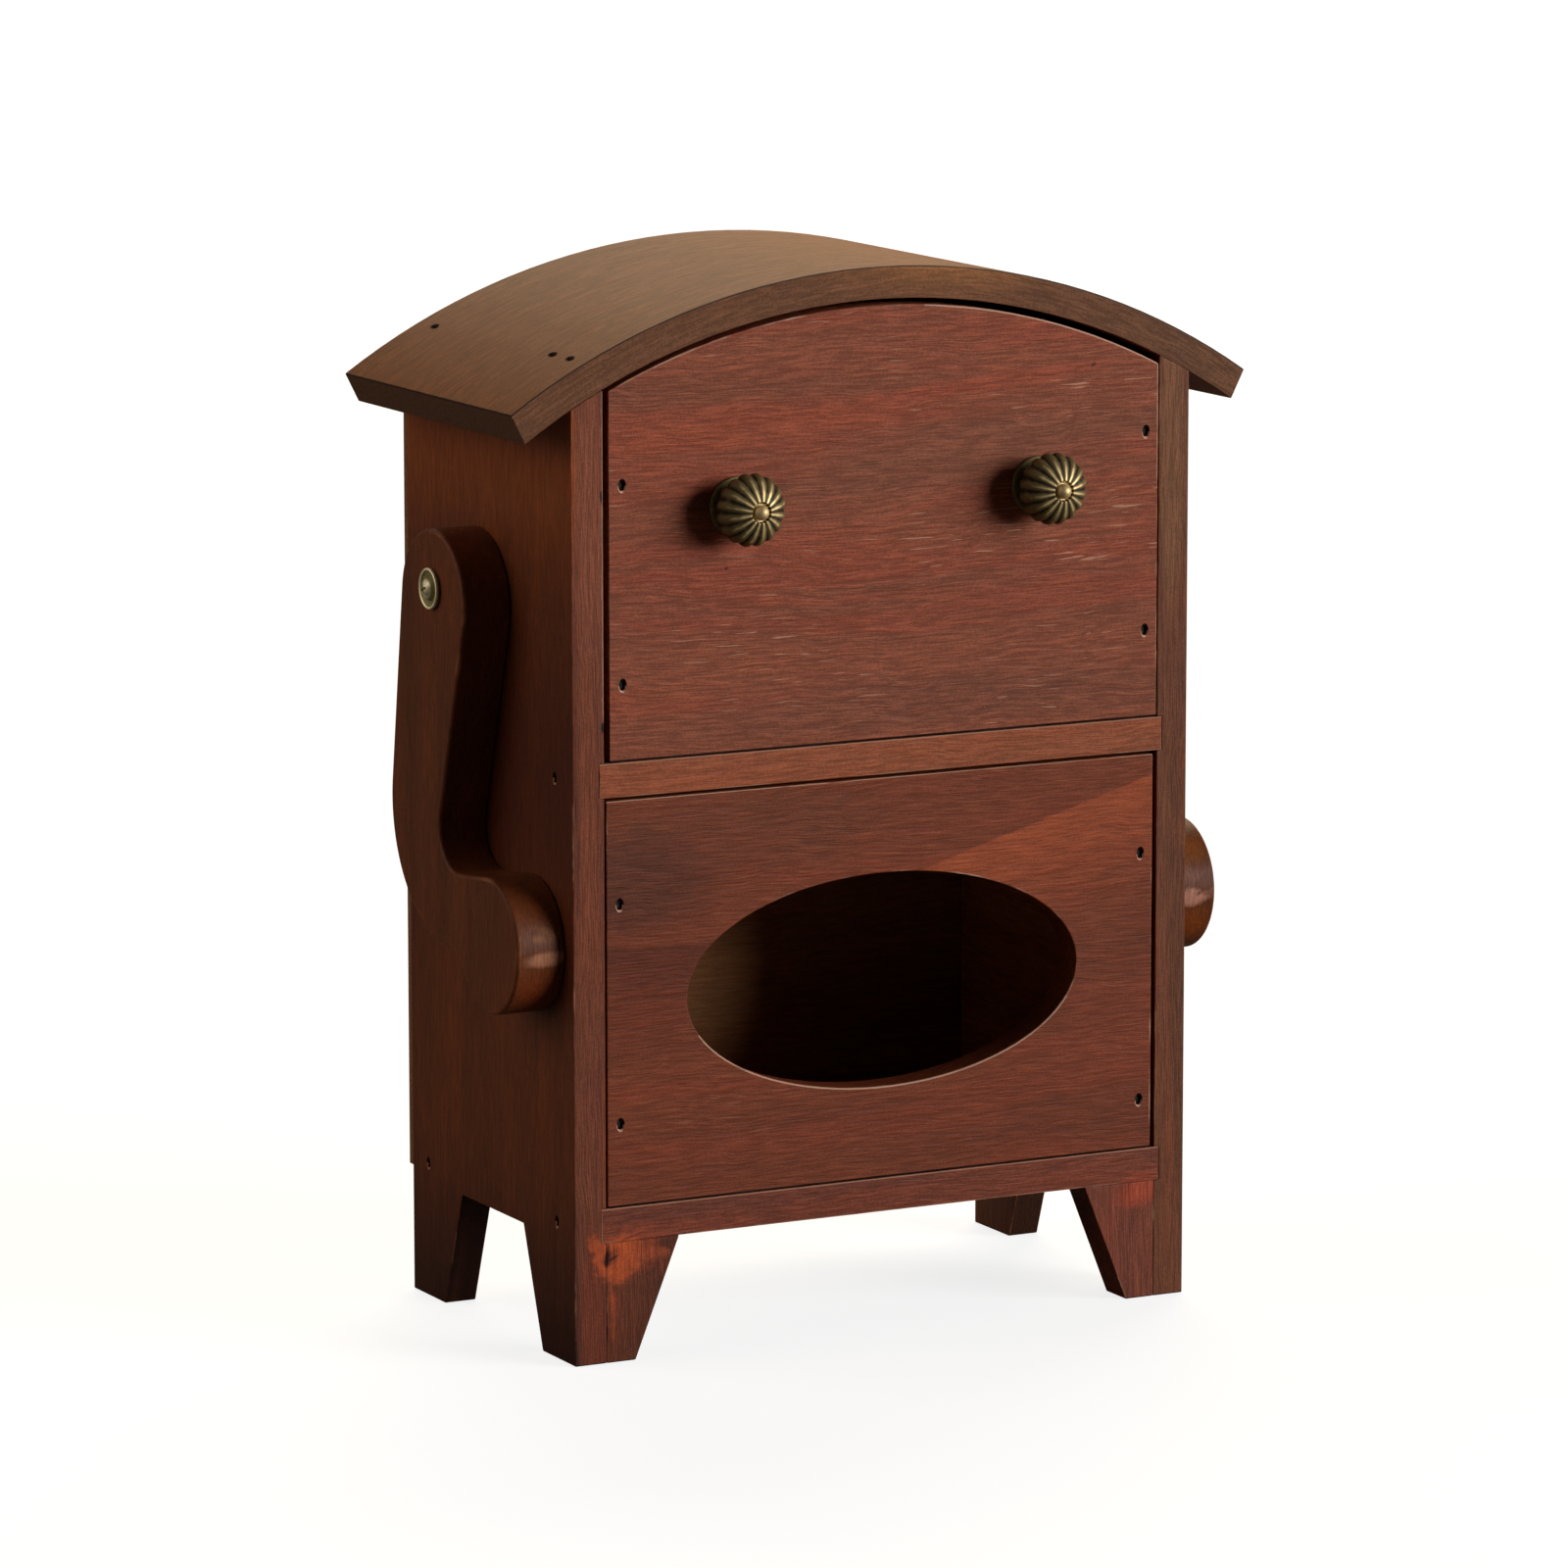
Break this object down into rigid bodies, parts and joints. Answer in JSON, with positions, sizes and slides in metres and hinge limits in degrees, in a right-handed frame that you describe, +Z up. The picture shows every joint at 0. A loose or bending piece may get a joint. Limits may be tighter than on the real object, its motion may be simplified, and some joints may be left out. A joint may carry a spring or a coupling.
{
  "type": "tissue cabinet with drawers",
  "caption": "Wooden tissue cabinet with a bent roof, an arched drawer with fluted knobs, a tissue drawer with an oval hole and swinging arms.",
  "frame": {"origin": "on the floor, under the middle of the whole object", "axes": "+Z up, drawers open towards -Y, +X to the right of someone who faces the drawers"},
  "size_m": [0.2846, 0.1564, 0.3728],
  "materials": {
    "stained_wood": "mahogany stain under satin varnish",
    "plywood": "stained plywood",
    "aged_brass": "aged, polished on the high spots",
    "brad_steel": "bright wire"
  },
  "bodies": {
    "cabinet": {"left_side": "stained_wood", "right_side": "stained_wood", "bottom_board": "stained_wood", "divider_shelf": "stained_wood", "roof_board": "stained_wood", "left_foot_bracket": "stained_wood", "right_foot_bracket": "stained_wood", "back_panel": "plywood", "shelf_brads": "brad_steel", "roof_brads": "brad_steel", "back_brads": "brad_steel", "arm_screws": "aged_brass", "arm_washers": "aged_brass"},
    "upper_drawer": {"upper_drawer_front": "stained_wood", "knobs": "aged_brass", "knob_screws": "aged_brass", "upper_drawer_left_side": "stained_wood", "upper_drawer_right_side": "stained_wood", "upper_drawer_back": "stained_wood", "upper_drawer_bottom": "plywood", "upper_drawer_brads": "brad_steel"},
    "tissue_drawer": {"tissue_drawer_front": "stained_wood", "tissue_drawer_left_side": "stained_wood", "tissue_drawer_right_side": "stained_wood", "tissue_drawer_back": "stained_wood", "tissue_drawer_bottom": "plywood", "tissue_drawer_brads": "brad_steel"},
    "left_arm": {"left_arm": "stained_wood"},
    "right_arm": {"right_arm": "stained_wood"}
  },
  "joints": [
    {"name": "upper_drawer_slide", "type": "slide", "parent": "cabinet", "child": "upper_drawer", "axis": [0, -1, 0], "range_m": [0, 0.1]},
    {"name": "tissue_drawer_slide", "type": "slide", "parent": "cabinet", "child": "tissue_drawer", "axis": [0, -1, 0], "range_m": [0, 0.1]},
    {"name": "left_arm_swing", "type": "hinge", "parent": "cabinet", "child": "left_arm", "pos_m": [-0.12, 0.01575, 0.2615], "axis": [-1, 0, 0], "range_deg": [-105, 105]},
    {"name": "right_arm_swing", "type": "hinge", "parent": "cabinet", "child": "right_arm", "pos_m": [0.12, 0.01575, 0.2615], "axis": [-1, 0, 0], "range_deg": [-105, 105]}
  ]
}
